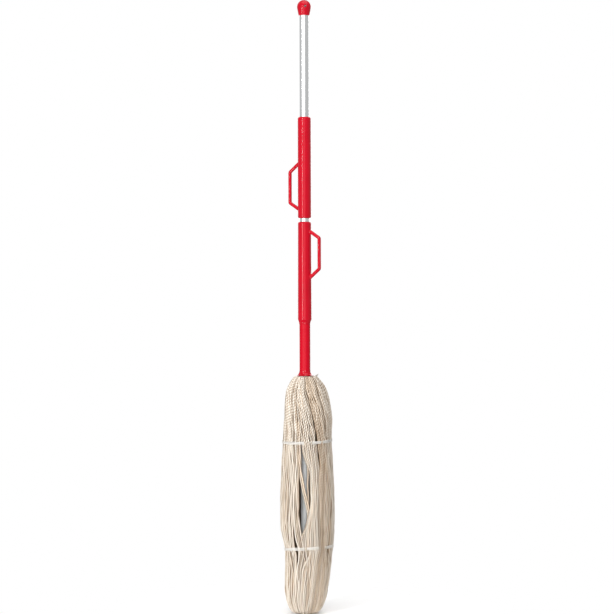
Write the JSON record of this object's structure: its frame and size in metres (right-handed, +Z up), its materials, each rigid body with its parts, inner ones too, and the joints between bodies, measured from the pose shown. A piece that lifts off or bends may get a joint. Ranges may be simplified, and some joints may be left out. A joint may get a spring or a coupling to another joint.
{
  "type": "string mop",
  "caption": "Self-wringing string mop: a long pole, a grip fixed to it, and a sleeve grip that slides and turns to stretch and twist the yarn.",
  "frame": {"origin": "on the pole's axis, at the level of the yarn's lowest point", "axes": "+Z up along the pole towards the knob, -X towards the upper grip's hand loop, +X towards the lower grip's hand loop, +Y to the back, where the grips' screws are"},
  "size_m": [0.1334, 0.1334, 1.5],
  "materials": {
    "pole_metal": "satin",
    "red_plastic": "glossy moulded",
    "red_coating": "glossy coating",
    "white_plastic": "matte moulded",
    "black_rubber": "matte",
    "steel": "zinc plated",
    "yarn": "loose twisted cotton",
    "tie_string": "thin white string"
  },
  "bodies": {
    "pole": {"inner_pole": "pole_metal", "top_knob": "red_plastic", "upper_grip": "red_plastic", "upper_grip_spacer": "white_plastic", "upper_grip_end_bush": "red_plastic", "upper_grip_screw": "steel", "yarn_hub": "red_plastic", "pole_end_plug": "white_plastic", "hub_washer": "steel", "hub_screw": "steel", "hub_wire": "steel", "lower_yarn": "yarn", "lower_tie": "tie_string"},
    "slider": {"guide_bush_top": "white_plastic", "guide_bush_foot": "white_plastic", "friction_ring": "black_rubber", "upper_tie": "tie_string"},
    "sleeve": {"lower_grip": "red_plastic", "lower_grip_screws": "steel", "outer_pipe": "red_coating", "yarn_collar": "red_plastic", "collar_rivets": "steel", "collar_wire": "steel", "upper_yarn": "yarn"}
  },
  "joints": [
    {"name": "sleeve_slide", "type": "slide", "parent": "pole", "child": "slider", "axis": [0, 0, -1], "range_m": [0, 0.25], "deforming": ["lower_yarn"]},
    {"name": "sleeve_twist", "type": "hinge", "parent": "slider", "child": "sleeve", "pos_m": [0, 0, 0.75], "axis": [0, 0, 1], "range_deg": [-170, 170]}
  ]
}
